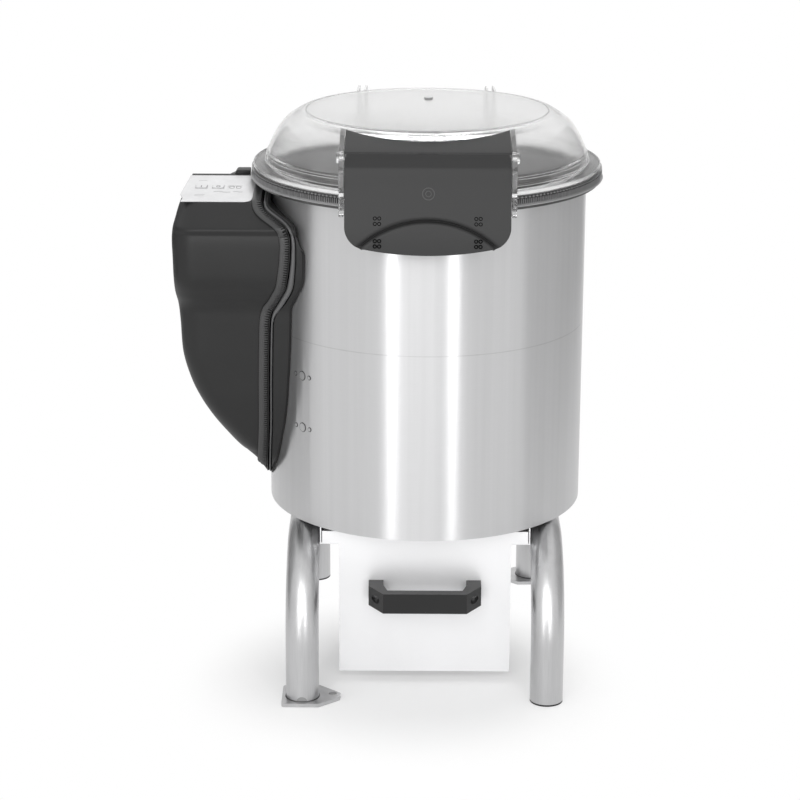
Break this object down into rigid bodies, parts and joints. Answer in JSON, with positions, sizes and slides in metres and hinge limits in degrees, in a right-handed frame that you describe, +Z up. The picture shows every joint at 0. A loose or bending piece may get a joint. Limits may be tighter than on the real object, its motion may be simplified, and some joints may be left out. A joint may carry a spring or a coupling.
{
  "type": "electric potato peeler",
  "caption": "Floor-standing electric potato peeler: steel drum on tubular legs, clear domed lid with discharge door, side control housing and a filter drawer below.",
  "frame": {"origin": "on the floor on the drum's axis, the middle of the two floor bolt holes", "axes": "+Z up along the drum's axis, -Y to the front with the discharge door and drawer, -X to the control housing"},
  "size_m": [0.5183, 0.4665, 0.6892],
  "materials": {
    "brushed_steel": "vertically brushed stainless sheet",
    "tube_steel": "ground stainless tube",
    "sheet_steel": "bright stainless sheet",
    "turned_steel": "turned steel",
    "black_plastic": "satin moulded plastic",
    "ribbed_rubber": "ribbed rubber",
    "clear_plastic": "clear moulded polycarbonate",
    "grey_plastic": "plain moulded plastic",
    "panel_film": "light membrane film",
    "dark_glass": "dark display window",
    "board_green": "circuit board",
    "abrasive_grit": "bonded abrasive grit",
    "cast_grey": "painted cast metal"
  },
  "bodies": {
    "frame": {"base_skirt": "brushed_steel", "drum_wall": "brushed_steel", "drum_floor": "brushed_steel", "abrasive_liner": "abrasive_grit", "rim_seal": "ribbed_rubber", "base_plate": "brushed_steel", "left_leg": "tube_steel", "right_leg": "tube_steel", "foot_plates": "tube_steel", "foot_caps": "black_plastic", "drawer_rails": "sheet_steel", "hinge_brackets": "sheet_steel", "skirt_fixings": "brushed_steel", "water_inlet": "sheet_steel", "housing_back": "black_plastic", "housing_cover": "black_plastic", "housing_seal": "ribbed_rubber", "control_panel": "panel_film", "timer_display": "dark_glass", "lid_switch_cap": "black_plastic", "control_board": "board_green", "electrics_plate": "sheet_steel", "contactor": "grey_plastic", "capacitor": "grey_plastic", "terminal_block": "grey_plastic", "cable_gland": "black_plastic", "motor_plate": "brushed_steel", "motor_body": "cast_grey", "bearing_housing": "cast_grey", "bearings": "turned_steel", "shaft_seal": "ribbed_rubber", "drive_belt": "ribbed_rubber", "waste_chute": "brushed_steel"},
    "spindle": {"drive_shaft": "turned_steel", "driven_pulley": "cast_grey", "peeling_disc": "abrasive_grit", "disc_knob": "black_plastic"},
    "rotor": {"motor_shaft": "turned_steel", "motor_pulley": "cast_grey"},
    "lid": {"lid_dome": "clear_plastic", "lid_plug": "grey_plastic", "hinge_pins": "turned_steel"},
    "door": {"discharge_door": "black_plastic", "door_pins": "black_plastic"},
    "drawer": {"drawer_panel": "sheet_steel", "drawer_tray": "sheet_steel", "filter_screen": "sheet_steel", "drain_spigot": "sheet_steel", "drawer_handle": "black_plastic", "handle_screws": "turned_steel"},
    "start_key": {"key_start": "panel_film"},
    "stop_key": {"key_stop": "panel_film"}
  },
  "joints": [
    {"name": "spindle_spin", "type": "hinge", "parent": "frame", "child": "spindle", "pos_m": [0, 0, 0.34], "axis": [0, 0, 1], "continuous": true},
    {"name": "motor_spin", "type": "hinge", "parent": "frame", "child": "rotor", "pos_m": [0.07637, 0.07637, 0.22], "axis": [0, 0, 1], "continuous": true},
    {"name": "lid_hinge", "type": "hinge", "parent": "frame", "child": "lid", "pos_m": [0, 0.222, 0.64], "axis": [-1, 0, 0], "range_deg": [0, 100]},
    {"name": "door_hinge", "type": "hinge", "parent": "lid", "child": "door", "pos_m": [0, -0.187, 0.664], "axis": [-1, 0, 0], "range_deg": [0, 70]},
    {"name": "drawer_slide", "type": "slide", "parent": "frame", "child": "drawer", "axis": [0, -1, 0], "range_m": [0, 0.25]},
    {"name": "start_press", "type": "slide", "parent": "frame", "child": "start_key", "axis": [0, 0.1457, -0.9893], "range_m": [0, 0.001], "stiffness_N_per_m": 600, "springref_m": -0.001},
    {"name": "stop_press", "type": "slide", "parent": "frame", "child": "stop_key", "axis": [0, 0.1457, -0.9893], "range_m": [0, 0.001], "stiffness_N_per_m": 600, "springref_m": -0.001}
  ],
  "couplings": [
    {"joint": "motor_spin", "follows": "spindle_spin", "ratio": 3.0418}
  ]
}
